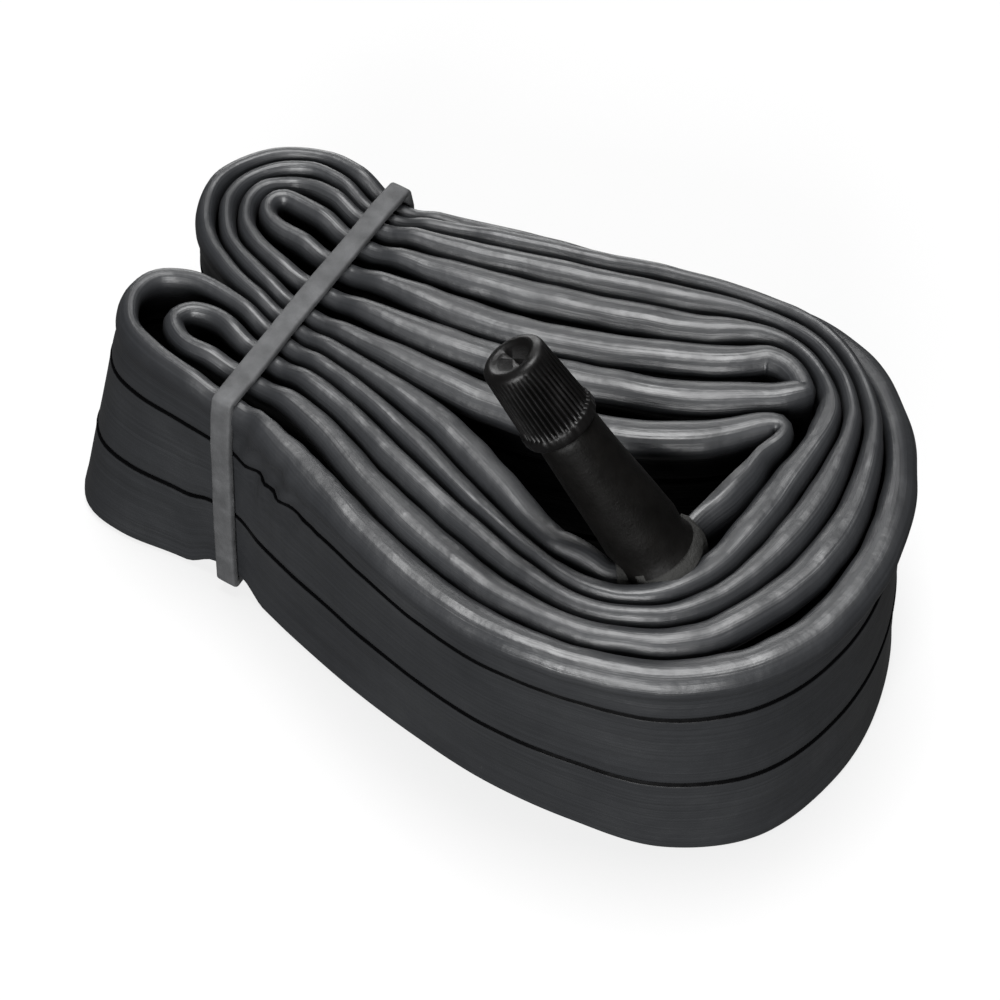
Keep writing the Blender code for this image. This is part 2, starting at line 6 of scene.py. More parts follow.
import bmesh
import bpy
import numpy as np
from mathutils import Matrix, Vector


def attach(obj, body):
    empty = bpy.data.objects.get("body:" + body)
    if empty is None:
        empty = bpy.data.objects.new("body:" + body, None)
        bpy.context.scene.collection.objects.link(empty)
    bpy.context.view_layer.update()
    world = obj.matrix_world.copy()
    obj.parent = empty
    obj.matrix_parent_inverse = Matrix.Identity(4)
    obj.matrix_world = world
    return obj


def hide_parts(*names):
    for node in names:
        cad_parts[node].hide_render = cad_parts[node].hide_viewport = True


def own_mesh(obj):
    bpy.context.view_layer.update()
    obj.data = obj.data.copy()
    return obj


MM = 0.001
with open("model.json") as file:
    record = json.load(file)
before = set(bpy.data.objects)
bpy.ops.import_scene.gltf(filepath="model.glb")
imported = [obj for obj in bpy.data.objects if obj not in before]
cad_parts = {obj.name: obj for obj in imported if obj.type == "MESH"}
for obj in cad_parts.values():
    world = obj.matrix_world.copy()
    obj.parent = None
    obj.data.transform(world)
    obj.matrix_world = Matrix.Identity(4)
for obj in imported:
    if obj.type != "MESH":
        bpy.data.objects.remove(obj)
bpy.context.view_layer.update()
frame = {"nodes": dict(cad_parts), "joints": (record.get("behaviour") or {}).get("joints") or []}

# Sizes shared with the CAD part, mm.
PACK_LENGTH, PACK_WIDTH, TUBE_HEIGHT = 110.0, 66.0, 37.0
HALF_WALLS, LANE_GAP = 1.0, 0.3
FOLD_AT_BAND, FOLD_MOST, FOLD_DEPTH = 1.45, 2.7, 2.7
BAND_X, BAND_SLANT, BAND_WIDTH, BAND_THICKNESS, BAND_SQUEEZE, BAND_LIFT = -31.8, -0.05, 3.0, 0.9, 0.9, 1.4
VALVE_LEAN = Vector((-0.53, -0.125, 0.839)).normalized()
COVER_LENGTH, COVER_R, COVER_BASE_R = 23.0, 4.15, 5.0
THREAD_R, THREAD_LENGTH = 3.6, 9.0
CORE_R, BARREL_R, PIN_R = 2.6, 1.95, 0.5
FIT = 0.15
PAD_WALL, PAD_FOLD = 0.6, 1.7
PAD_BEFORE, PAD_AFTER, PAD_DEPTH = 5.5, 6.5, 9.0
CAP_LENGTH, CAP_FLANGE_R, CAP_BASE_R, CAP_TOP_R = 12.0, 5.0, 4.75, 4.2
STATION_STEP = 1.6

# Sizes worked out from those, mm.
STRETCH_X, STRETCH_Y = PACK_LENGTH / 110.0, PACK_WIDTH / 66.0
FINE_STEP = STATION_STEP / 2
MOUTH = COVER_LENGTH + THREAD_LENGTH
CAP_BORE, CAP_BASE = THREAD_R + FIT, COVER_LENGTH + 0.3
CAP_PITCH, CORE_PITCH = 25.4 / 32, 25.4 / 36

# Where each lane crosses the band, front to back.
LANES = (-20.4, -15.8, -11.7, -8.3, -5.5, -2.7, 1.6, 6.4, 11.0, 14.8, 17.3, 19.9)
LANE_LEANS = {1: -2.2}
LANE_DIPS = {11: 0.7, 12: 1.5}

# The route of the top fold, as legs from one crossing of the band to the next. A point is x, y, and where
# the strip leans or dips also how far its lower edge stands out in x and y, how far its crest lies low, and,
# from 0 to 1, how much of the lean comes at once below the crest.
LEGS = (
    # Right loop from lane 1 round to lane 12, the outermost.
    (1, ((-27, -20.6, 0, -2.8, 0, 0.8), (-18.5, -22.7, 0, -3.1, 0, 1), (-7.5, -27.4, 0, -1, 0, 0.6),
         (4, -31, 0, 0.8), (15.5, -32.5, 0, 1.4), (27.5, -31, 0, 0.8), (39, -26.5, 0.6, -0.9),
         (47.5, -18, 1.5, -1.3), (51, -7, 1.5, 0), (50.5, 5, 1.2, 0), (46, 17, 0.8, 0.4, 1.2),
         (38, 27.3, 0, 0, 3.2), (27.5, 33.2, 0, 0, 4.6), (16, 33.2, 0, 0, 5.2), (4, 30.7, 0, 0, 5.2),
         (-7.5, 27.6, 0, 0, 4.6), (-19, 23.9, 0, 0, 3.4), (-26, 21.2, 0, 0, 2.2))),
    # Rear lobe, outermost fold.
    (12, ((-37, 20.6), (-43.5, 21), (-50.2, 17.5, -1, 0), (-54, 9.5, -1.5, 0), (-50.6, 2, -1, 0),
         (-42, -3))),
    # Valve leg and the lower right hairpin.
    (5, ((-19, -7), (-6.5, -9), (5, -13), (14, -16.8), (20.5, -18), (25, -16, 1.5, -1, 1.2),
         (27.8, -11.3, 3.5, 0, 2.3), (28.5, -4.6, 4.8, 0, 0.8, 0.7), (29.3, 0.6, 5, 0, 0.1, 1),
         (29.9, 5, 4.6, 0, 0, 1), (30.5, 9, 3, 0, 0, 0.7), (31.4, 11.5, 1, 0, 0, 0.3), (31.6, 13.3),
         (30.5, 14.3), (28.6, 13.4), (26.2, 10.8), (22.2, 7), (16.5, 3.4), (5.5, -0.7), (-6, -2.6),
         (-18.5, -3))),
    # Rear lobe, second fold.
    (6, ((-40.5, -0.8), (-47.2, 2.3), (-51.4, 8.8), (-50.6, 14), (-47, 17.9), (-41, 18.4))),
    # Right loop, second from outside, from lane 11 back to lane 2.
    (11, ((-19, 21.4, 0, 0, 0.5), (-7, 25, 0, 0, 0.3), (4.5, 28.2), (16.5, 30.8), (28, 31.2, 0, 0, 0.2),
         (38, 24.8, 0, 0, 0.5), (43.5, 13.5), (45.5, 1.5), (43.5, -10), (38, -20.5), (27.5, -26.5),
         (15.5, -27.4), (3.5, -25.5), (-8, -22), (-19, -17.5))),
    # Front lobe, inner fold.
    (2, ((-36.5, -15.7), (-41.8, -15.6, -0.5, -1), (-44.8, -13.3, -1.5, -1), (-43.8, -10.9, -1, 0),
         (-40.5, -9.9), (-36.2, -10.9))),
    # Right loop, third from outside.
    (3, ((-19.5, -13.1), (-7.5, -16.8), (4.5, -20), (16, -22.8), (25.5, -23.2), (33.5, -19.2), (38, -12),
         (40.2, -0.5), (39.8, 11.5), (36.2, 22.8), (28, 30), (15.5, 28.4), (4, 24.8), (-7.5, 21.2),
         (-19.5, 17.6))),
    # Rear lobe, third fold.
    (10, ((-40, 15.9), (-45.2, 15.6, -0.3, 0, 0.6), (-48.7, 12.4), (-48.6, 8.6), (-45.6, 4.4),
         (-39, 2.1))),
    # Upper right hairpin.
    (7, ((-19.5, 2), (-7.5, 3.8), (4.5, 7), (15.5, 11), (23.7, 15.6), (28.8, 19.3), (31, 21.8),
         (30.8, 24.3), (28.4, 25.9), (25.6, 25.5), (22.9, 23.6), (20, 21), (15, 18), (4.5, 13),
         (-7.5, 9.2), (-20, 7.4))),
    # Rear lobe, inner fold.
    (8, ((-38, 7), (-43, 7.3), (-45.6, 8.6), (-46.2, 10.4), (-45.2, 12), (-42.2, 12.3), (-37.5, 11.9))),
    # Right loop, innermost, from lane 9 back to lane 4.
    (9, ((-20, 12.9), (-8.5, 15.6), (2.5, 19), (12.5, 22.6), (20, 26.2), (27.6, 28.4), (33.4, 25.4),
         (35.6, 18), (35.8, 8), (36, -2), (34.8, -11.5), (31.2, -17.6), (25, -20.8), (14, -20.4),
         (2.5, -17), (-8.5, -13), (-19.5, -10))),
    # Front lobe, outer fold.
    (4, ((-39, -6.6, 0, 0.6), (-46.2, -6.4, -3.6, -0.3), (-50.6, -8.5, -5.4, -2), (-51.6, -12.4, -6, -5),
         (-49.2, -16.7, -5.4, -6), (-44.2, -18.9, -3.8, -5.2), (-38.4, -19.9, -1.2, -3.2))),
)
VALVE_POINT = (27.8, -11.3)


def spline(control, step):
    """A closed smooth curve through the control rows, in even steps along its first two columns."""
    p0, p1, p2, p3 = (np.roll(control, k, axis=0) for k in (1, 0, -1, -2))
    t0 = np.linalg.norm((p1 - p0)[:, :2], axis=1)[:, None] ** 0.5
    t1 = np.linalg.norm((p2 - p1)[:, :2], axis=1)[:, None] ** 0.5
    t2 = np.linalg.norm((p3 - p2)[:, :2], axis=1)[:, None] ** 0.5
    m1 = t1 * ((p1 - p0) / t0 - (p2 - p0) / (t0 + t1) + (p2 - p1) / t1)
    m2 = t1 * ((p2 - p1) / t1 - (p3 - p1) / (t1 + t2) + (p3 - p2) / t2)
    t = np.linspace(0, 1, 12, endpoint=False)[:, None, None]
    rows = (2 * t**3 - 3 * t**2 + 1) * p1 + (t**3 - 2 * t**2 + t) * m1
    rows = rows + (3 * t**2 - 2 * t**3) * p2 + (t**3 - t**2) * m2
    rows = rows.transpose(1, 0, 2).reshape(-1, control.shape[1])
    return even(rows, step)


def even(rows, step):
    """The closed run of rows again, in even steps."""
    ends = np.vstack([rows, rows[:1]])
    run = np.r_[0, np.cumsum(np.linalg.norm(np.diff(ends[:, :2], axis=0), axis=1))]
    at = np.linspace(0, run[-1], int(round(run[-1] / step)), endpoint=False)
    return np.stack([np.interp(at, run, ends[:, k]) for k in range(rows.shape[1])], axis=1)


def normals(points):
    """The unit direction along the run and the one to its left, at each point."""
    tangent = np.roll(points, -1, axis=0) - np.roll(points, 1, axis=0)
    tangent /= np.linalg.norm(tangent, axis=1)[:, None]
    return tangent, np.stack([-tangent[:, 1], tangent[:, 0]], axis=1)


def neighbours(points, step):
    """For each pair of stations side by side on different lanes, how far the second is to the left."""
    tangent, left = normals(points)
    apart = points[None] - points[:, None]
    along = np.abs(np.einsum("ijk,ik->ij", apart, tangent))
    across = np.einsum("ijk,ik->ij", apart, left)
    count = len(points)
    hops = np.abs(np.arange(count)[:, None] - np.arange(count)[None])
    hops = np.minimum(hops, count - hops)
    beside = (along < 1.3 * step) & (hops * step > 8) & (np.abs(across) < 9)
    return np.where(beside, across, np.inf), left


def half_widths(points, valve):
    """Half the room each station takes: the strip, or the wider pad near the valve."""
    near = np.linalg.norm(points - valve, axis=1)
    wide = HALF_WALLS + (PAD_FOLD + PAD_WALL + 2 * LANE_GAP - HALF_WALLS) * np.clip((14 - near) / 5, 0, 1)
    return np.where(on_valve_leg(points, valve), wide, HALF_WALLS)


def on_valve_leg(points, valve):
    """Stations near the valve and reached along the tube from it."""
    start = int(np.argmin(np.linalg.norm(points - valve, axis=1)))
    count = len(points)
    hops = np.abs(np.arange(count) - start)
    return np.minimum(hops, count - hops) * STATION_STEP < 26


def settle(rows, valve):
    """Pushes lanes that lie too close apart, until each has its own thickness and a small gap."""
    rows = rows.copy()
    wanted = rows[:, :2].copy()
    for _ in range(150):
        points = rows[:, :2]
        across, left = neighbours(points, STATION_STEP)
        half = half_widths(points, valve)
        room = half[:, None] + half[None] + LANE_GAP
        short = np.where(np.abs(across) < room, (room - np.abs(across)) * -np.sign(across), 0)
        push = np.where(np.abs(short.max(1)) > np.abs(short.min(1)), short.max(1), short.min(1))
        both = short.max(1) * (short.max(1) > 0) + short.min(1) * (short.min(1) < 0)
        push = np.where((short.max(1) > 0) & (short.min(1) < 0), both, push)
        held = np.linalg.norm(points - valve, axis=1) < 7
        push = np.where(held & on_valve_leg(points, valve), 0, push)
        moved = points + left * (0.5 * push)[:, None]
        mean = (np.roll(moved, 1, axis=0) + np.roll(moved, -1, axis=0)) / 2
        touched = (np.abs(push) > 0.01)[:, None]
        moved = np.where(touched, moved * 0.8 + mean * 0.2, moved)
        rows[:, :2] = moved + (wanted - moved) * 0.01
    return rows


def bump(distance, flat, reach):
    """One inside flat, falling smoothly to nothing over the next reach."""
    t = np.clip((np.abs(distance) - flat) / reach, 0, 1)
    return 1 - t * t * (3 - 2 * t)


def route():
    """Rows of x, y, lower edge's lean in x and y, crest dip and early lean, all round the tube."""
    control = []
    for lane, points in LEGS:
        y = LANES[lane - 1]
        control.append((BAND_X + BAND_SLANT * y, y, 0, LANE_LEANS.get(lane, 0), LANE_DIPS.get(lane, 0), 0.5))
        control += [tuple(p) + (0,) * (6 - len(p)) for p in points]
    control = np.array(control, float) * (STRETCH_X, STRETCH_Y, STRETCH_X, STRETCH_Y, 1, 1)
    valve = np.array(VALVE_POINT) * (STRETCH_X, STRETCH_Y)
    return settle(spline(control, STATION_STEP), valve), valve


def off_band(points):
    """How far each point is from the middle of the band's track, along x."""
    return points[:, 0] - STRETCH_X * (BAND_X + BAND_SLANT * points[:, 1] / STRETCH_Y)


def fold_widths(points, valve):
    """Half-widths of the soft top fold on the left and right of each station."""
    across, _ = neighbours(points, STATION_STEP)
    left = np.where(across > 0, across, np.inf).min(1)
    right = np.where(across < 0, -across, np.inf).min(1)
    ease = np.clip((off_band(points) - 3) / 14, 0, 1)
    most = FOLD_AT_BAND + (FOLD_MOST - FOLD_AT_BAND) * ease * ease * (3 - 2 * ease)
    crisp = on_valve_leg(points, valve) & (points[:, 1] > valve[1])
    most = np.where(crisp, np.minimum(most, 1.25), most)
    pair = []
    for gap in (left, right):
        room = np.clip(gap / 2 - 0.06, HALF_WALLS, most)
        around = sum(np.roll(room, hops) for hops in (1, -1, 2, -2)) / 4
        pair.append(np.minimum(room, around))
    far = np.linalg.norm(points - valve, axis=1)
    near = np.where(on_valve_leg(points, valve), np.clip((12 - far) / 4, 0, 1), 0)
    return [side + (np.minimum(side, PAD_FOLD) - side) * near for side in pair]


def hull(points):
    """The convex outline round flat points, counter-clockwise."""
    points = sorted(set(points))
    chains = []
    for run in (points, points[::-1]):
        chain = []
        for p in run:
            while len(chain) > 1:
                (ax, ay), (bx, by) = chain[-2], chain[-1]
                if (bx - ax) * (p[1] - ay) - (by - ay) * (p[0] - ax) > 1e-9:
                    break
                chain.pop()
            chain.append(p)
        chains.append(chain[:-1])
    return chains[0] + chains[1]


def between(values):
    """A closed run of rows with one more row set smoothly between each pair."""
    p0, p1, p2, p3 = (np.roll(values, k, axis=0) for k in (1, 0, -1, -2))
    out = np.empty((2 * len(values),) + values.shape[1:])
    out[0::2] = values
    out[1::2] = (9 * (p1 + p2) - p0 - p3) / 16
    return out


def waves(at, length, seed, shortest, longest, count=14):
    """Gentle repeatable unevenness along a closed run, about one unit high."""
    dice = np.random.default_rng(seed)
    total = np.zeros(np.shape(at))
    for _ in range(count):
        turns = max(1, round(length / dice.uniform(shortest, longest)))
        total = total + np.sin(2 * math.pi * turns * at / length + dice.uniform(0, 7)) * dice.uniform(0.5, 1)
    return total / math.sqrt(count)


class Route:
    """The tube's stations, FINE_STEP apart, in mm in the route's own frame. SHIFT moves them to the CAD's."""

    def __init__(self):
        rows, self.valve = route()
        folds = fold_widths(rows[:, :2], self.valve)
        self.fold = between(np.stack(folds, 1))
        self.rows = between(rows)
        points = self.rows[:, :2]
        self.left = normals(points)[1]
        pinch = bump(off_band(points), BAND_WIDTH / 2 + 1, 4)
        self.power = 0.95 - 0.6 * np.clip(self.rows[:, 5], 0, 1)
        self.top = TUBE_HEIGHT - self.rows[:, 4] - BAND_SQUEEZE * pinch
        self.bottom = (BAND_THICKNESS + LANE_GAP + BAND_LIFT) * pinch
        step = np.linalg.norm(np.roll(points, -1, 0) - points, axis=1)
        self.run = np.r_[0, np.cumsum(step)[:-1]]
        self.length = step.sum()


ROUTE = Route()
CAP_JOINT = next(joint for joint in frame["joints"] if joint["name"] == "cap_turn")
ORIGIN = Vector(CAP_JOINT["pos_m"]) / MM
TURN = VALVE_LEAN.to_track_quat("Z", "Y").to_matrix()
# The route's frame is moved flat over the floor until the valve stands where the CAD has it.
VALVE_STATION = 2 * int(np.argmin(np.linalg.norm(ROUTE.rows[::2, :2] - ROUTE.valve, axis=1)))
SHIFT = ORIGIN - Vector((*ROUTE.rows[VALVE_STATION][:2], 0))
SHIFT.z = 0


def mesh_piece(name, verts, faces, mat, body, uvs=None, sharp=None, shift=True):
    """A piece riding on a body, from points in mm in the route's frame or, with no shift, in the CAD's."""
    mesh = bpy.data.meshes.new(name)
    move = SHIFT if shift else Vector()
    verts = (np.asarray(verts, float) + np.array(move)) * MM
    mesh.from_pydata(verts.tolist(), [], faces)
    work = bmesh.new()
    work.from_mesh(mesh)
    bmesh.ops.recalc_face_normals(work, faces=work.faces)
    if sharp is not None:
        limit = math.radians(sharp)
        for edge in work.edges:
            if len(edge.link_faces) == 2 and edge.calc_face_angle(0) > limit:
                edge.smooth = False
    work.to_mesh(mesh)
    work.free()
    mesh.polygons.foreach_set("use_smooth", [True] * len(mesh.polygons))
    if uvs is not None:
        layer = mesh.uv_layers.new(name="UVMap")
        index = np.empty(len(mesh.loops), np.int32)
        mesh.loops.foreach_get("vertex_index", index)
        layer.data.foreach_set("uv", np.asarray(uvs, float)[index].ravel())
    obj = bpy.data.objects.new(name, mesh)
    bpy.context.scene.collection.objects.link(obj)
    mesh.materials.append(mat)
    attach(obj, body)
    return obj


def grid_faces(rings, count, closed_rings=True, closed_count=True):
    """Four-sided faces between rings of count points each."""
    faces = []
    for i in range(rings if closed_rings else rings - 1):
        a, b = i * count, (i + 1) % rings * count
        for k in range(count if closed_count else count - 1):
            n = (k + 1) % count
            faces.append((a + k, a + n, b + n, b + k))
    return faces


# Materials ----------------------------------------------------------------------------------------


def new_material(name, colour, roughness, metallic=0.0, specular=0.5):
    mat = bpy.data.materials.new(name)
    mat.use_nodes = True
    shader = mat.node_tree.nodes["Principled BSDF"]
    shader.inputs["Base Color"].default_value = (*colour, 1)
    shader.inputs["Roughness"].default_value = roughness
    shader.inputs["Metallic"].default_value = metallic
    shader.inputs["Specular IOR Level"].default_value = specular
    return mat, mat.node_tree, shader


def add(tree, kind, **settings):
    item = tree.nodes.new(kind)
    for key, value in settings.items():
        setattr(item, key, value)
    return item


def noise(tree, scale, detail=3.0, rough=0.5, coords=None, stretch=(1, 1, 1)):
    where = coords or add(tree, "ShaderNodeTexCoord").outputs["Object"]
    mapping = add(tree, "ShaderNodeMapping")
    mapping.inputs["Scale"].default_value = stretch
    tree.links.new(where, mapping.inputs["Vector"])
    item = add(tree, "ShaderNodeTexNoise")
    item.inputs["Scale"].default_value = scale
    item.inputs["Detail"].default_value = detail
    item.inputs["Roughness"].default_value = rough
    tree.links.new(mapping.outputs["Vector"], item.inputs["Vector"])
    return item.outputs["Fac"]


def ramp(tree, fac, stops):
    """A colour ramp from (place, grey or colour) stops."""
    item = add(tree, "ShaderNodeValToRGB")
    while len(item.color_ramp.elements) < len(stops):
        item.color_ramp.elements.new(0.5)
    for element, (place, value) in zip(item.color_ramp.elements, stops):
        element.position = place
        element.color = (*value, 1) if hasattr(value, "__len__") else (value, value, value, 1)
    tree.links.new(fac, item.inputs["Fac"])
    return item.outputs["Color"]


def mix(tree, kind, a, b, fac):
    """Two colours mixed; each of a, b and fac is a value or a socket."""
    item = add(tree, "ShaderNodeMix", data_type="RGBA", blend_type=kind)
    sockets = [s for s in item.inputs if s.type == "RGBA"]
    if hasattr(fac, "links"):
        tree.links.new(fac, item.inputs["Factor"])
    else:
        item.inputs["Factor"].default_value = fac
    for socket, value in zip(sockets, (a, b)):
        if hasattr(value, "links"):
            tree.links.new(value, socket)
        else:
            socket.default_value = (*value, 1)
    return next(s for s in item.outputs if s.type == "RGBA")


def bumps(tree, shader, heights):
    """Chained bump nodes: (height socket, strength, distance in metres)."""
    last = None
    for height, strength, distance in heights:
        item = add(tree, "ShaderNodeBump")
        item.inputs["Strength"].default_value = strength
        item.inputs["Distance"].default_value = distance
        tree.links.new(height, item.inputs["Height"])
        if last:
            tree.links.new(last, item.inputs["Normal"])
        last = item.outputs["Normal"]
    tree.links.new(last, shader.inputs["Normal"])


def butyl():
    """Extruded butyl rubber: satin charcoal, faint lengthwise lines, a little talc, and painted shade: darker
    and less shiny in the gaps between lanes and in the seams.
    """
    mat, tree, shader = new_material("butyl_rubber", (0.01, 0.0105, 0.0115), 0.42, specular=0.3)
    uv = add(tree, "ShaderNodeUVMap").outputs["UV"]
    patches = noise(tree, 55, 4, 0.6)
    dust = noise(tree, 420, 6, 0.7)
    streaks = noise(tree, 1.0, 3, 0.6, coords=uv, stretch=(0.025, 2.2, 1))
    base = ramp(tree, patches, [(0.25, (0.006, 0.0064, 0.0072)), (0.6, (0.009, 0.0095, 0.0104)),
                                (0.85, (0.0135, 0.014, 0.0146))])
    base = mix(tree, "MULTIPLY", base, ramp(tree, streaks, [(0.3, 0.78), (0.7, 1.15)]), 1.0)
    specks = mix(tree, "MULTIPLY", ramp(tree, dust, [(0.69, 0.0), (0.78, 1.0)]), (0.3, 0.3, 0.3), 1.0)
    base = mix(tree, "MIX", base, (0.04, 0.041, 0.042), specks)
    # Painted shade: the shade attribute turns the colour near black and lowers the specular level in the gaps
    # between lanes and in the seams.
    shade = add(tree, "ShaderNodeAttribute", attribute_name="shade").outputs["Fac"]
    base = mix(tree, "MIX", base, (0.0007, 0.0007, 0.0008), shade)
    tree.links.new(base, shader.inputs["Base Color"])
    shine = add(tree, "ShaderNodeMath", operation="MULTIPLY_ADD")
    shine.inputs[1].default_value, shine.inputs[2].default_value = -0.29, 0.3
    tree.links.new(shade, shine.inputs[0])
    tree.links.new(shine.outputs[0], shader.inputs["Specular IOR Level"])
    grey = noise(tree, 90, 5, 0.6)
    tree.links.new(ramp(tree, grey, [(0.25, 0.35), (0.75, 0.52)]), shader.inputs["Roughness"])
    fine = noise(tree, 2600, 3, 0.6)
    lines = noise(tree, 1.0, 2, 0.5, coords=uv, stretch=(0.02, 3.2, 1))
    soft = noise(tree, 160, 3, 0.5)
    mid = noise(tree, 650, 4, 0.6)
    bumps(tree, shader, [(soft, 0.45, 0.0008), (lines, 0.3, 0.0002), (mid, 0.18, 0.0002),
                         (fine, 0.14, 0.00005)])
    return mat


def rubber(name, colour, roughness, grain=900, depth=0.0002, specular=0.5, spots=0.35):
    """A matte moulded rubber with a fine grain, mottled lighter and darker."""
    mat, tree, shader = new_material(name, colour, roughness, specular=specular)
    dark = tuple(c * 0.62 for c in colour)
    light = tuple(min(1, c * 1.55) for c in colour)
    base = ramp(tree, noise(tree, 240, 5, 0.6), [(0.28, dark), (0.5, colour), (0.75, light)])
    tree.links.new(base, shader.inputs["Base Color"])
    worn = ramp(tree, noise(tree, 500, 4), [(0.25, roughness - 0.1), (0.75, min(1, roughness + 0.1))])
    tree.links.new(worn, shader.inputs["Roughness"])
    coarse = noise(tree, grain, 4, 0.65)
    fine = noise(tree, grain * 4, 2)
    bumps(tree, shader, [(coarse, spots, depth), (fine, 0.2, depth / 4)])
    return mat


def metal(name, colour, roughness):
    """A bare metal, dulled in patches."""
    mat, tree, shader = new_material(name, colour, roughness, metallic=1.0)
    dull = tuple(c * 0.7 for c in colour)
    base = ramp(tree, noise(tree, 300, 4), [(0.3, dull), (0.7, colour)])
    tree.links.new(base, shader.inputs["Base Color"])
    worn = ramp(tree, noise(tree, 700, 3), [(0.3, roughness - 0.07), (0.7, roughness + 0.1)])
    tree.links.new(worn, shader.inputs["Roughness"])
    bumps(tree, shader, [(noise(tree, 1500, 3), 0.15, 0.0001)])
    return mat


# The tube -----------------------------------------------------------------------------------------

# Section of one side from the lower edge up: height from the floor in mm, half-width in mm. The two narrow
# places are the seams.
SIDE = ((0.0, 0.45), (0.2, 0.8), (0.6, 1.02), (1.3, 1.1), (2.3, 1.06), (3.6, 0.98), (6.5, 0.96), (10, 0.98),
        (12.4, 1.0), (13.2, 1.06), (13.7, 1.12), (13.9, 1.08), (14.0, 0.5), (14.3, 0.42), (14.42, 0.9),
        (14.8, 0.98), (15.6, 0.98), (19, 0.97), (23, 0.98), (26, 1.02), (27.0, 1.08), (27.3, 1.11),
        (27.5, 1.06), (27.6, 0.5), (27.9, 0.42), (28.02, 0.92), (28.4, 1.02), (29.2, 1.06), (30.0, 1.04),
        (30.8, 0.98), (31.5, 0.92))
# Heights of the seams' grooves, which are painted black as painted shade.
SEAMS = ((13.85, 14.35), (27.45, 27.95))
NECK, NECK_HALF = SIDE[-1]
CREST_POINTS = 8  # from the neck to the middle of the crest
SHOULDER = 0.45  # share of those points below the crest's widest place
SHOULDER_DEPTH = FOLD_DEPTH * 0.88
OUTER_RUN = 235  # the stretch of the run, in mm, that starts at the band on the front lane


def tube_side(sign, fold):
    """One side of the section from the lower edge up: distance across and share of height at each station."""
    n = len(ROUTE.rows)
    run, length = ROUTE.run, ROUTE.length
    fold = fold * (1 + 0.035 * waves(run, length, 11 + sign, 5, 16))
    side = []
    for z, half in SIDE:
        sway = 0.06 * waves(run + z * 0.7, length, 21 + sign, 8, 26) if 2 < z < NECK else 0
        side.append((sign * np.full(n, half) + sway * min(1, half - 0.4), np.full(n, z / TUBE_HEIGHT)))
    for k in range(1, CREST_POINTS + 1):
        share = k / CREST_POINTS
        if share < SHOULDER:
            t = share / SHOULDER
            ease = t * t * (3 - 2 * t)
            half = NECK_HALF + (fold - NECK_HALF) * ease
            depth = (TUBE_HEIGHT - NECK) * (1 - t) + SHOULDER_DEPTH * t
        else:
            t = (share - SHOULDER) / (1 - SHOULDER) * math.pi / 2
            half = fold * math.cos(t) ** 0.9
            depth = SHOULDER_DEPTH * (1 - math.sin(t))
        side.append((sign * half, np.full(n, 1 - depth / TUBE_HEIGHT)))
    return side


def make_tube(mat):
    n = len(ROUTE.rows)
    run, length, low = ROUTE.run, ROUTE.length, ROUTE.bottom
    top = ROUTE.top + 0.12 * waves(run, length, 3, 9, 30) + 0.05 * waves(run, length, 5, 3, 9) - 0.1
    section = tube_side(1, ROUTE.fold[:, 0]) + tube_side(-1, ROUTE.fold[:, 1])[-2::-1]
    count = len(section)
    verts = np.empty((n, count, 3))
    along = np.empty((n, count, 2))
    walk = 0.0
    for k, (u, v) in enumerate(section):
        lean = np.clip(1 - v, 0, 1) ** ROUTE.power
        verts[:, k, 0] = ROUTE.rows[:, 0] + ROUTE.left[:, 0] * u + ROUTE.rows[:, 2] * lean
        verts[:, k, 1] = ROUTE.rows[:, 1] + ROUTE.left[:, 1] * u + ROUTE.rows[:, 3] * lean
        verts[:, k, 2] = low + v * (top - low)
        if k:
            last_u, last_v = section[k - 1]
            walk += math.hypot(float(np.mean(u - last_u)), float(np.mean(v - last_v)) * TUBE_HEIGHT)
        along[:, k, 0] = run
        along[:, k, 1] = walk
    # Painted shade, stored on the mesh as the shade attribute that the butyl rubber reads.
    shade = shades(top[:, None] - verts[..., 2], section)
    verts = shape_creases(verts)
    tube = mesh_piece("visual_tube", verts.reshape(-1, 3), grid_faces(n, count), mat, "bundle",
                      uvs=along.reshape(-1, 2))
    layer = tube.data.attributes.new("shade", "FLOAT", "POINT")
    layer.data.foreach_set("value", shade.ravel().astype(np.float32))
    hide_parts("tube")


def shades(depth, section):
    """How dark each point is painted: painted shade on a wall that faces another lane, growing below its
    crest, and black painted shade in each seam.
    """
    covered = np.ones(depth.shape)
    covered[:, len(section) // 2:] = right_side_covered()[:, None]
    shade = 0.88 * covered * np.clip((depth - 0.9) / 3.2, 0, 1)
    for k, (_, v) in enumerate(section):
        z = float(np.mean(v)) * TUBE_HEIGHT
        if any(low < z < high for low, high in SEAMS):
            shade[:, k] = 1
    return shade


def right_side_covered():
    """For each station, how far its right side faces another lane: 0 in the open to 1 in a gap; it masks the
    painted shade.
    """
    across, _ = neighbours(ROUTE.rows[:, :2], FINE_STEP)
    closed = (np.where(across < 0, -across, np.inf).min(1) < 8.9).astype(float)
    reach = range(-8, 9)
    return sum(np.roll(closed, k) for k in reach) / len(reach)


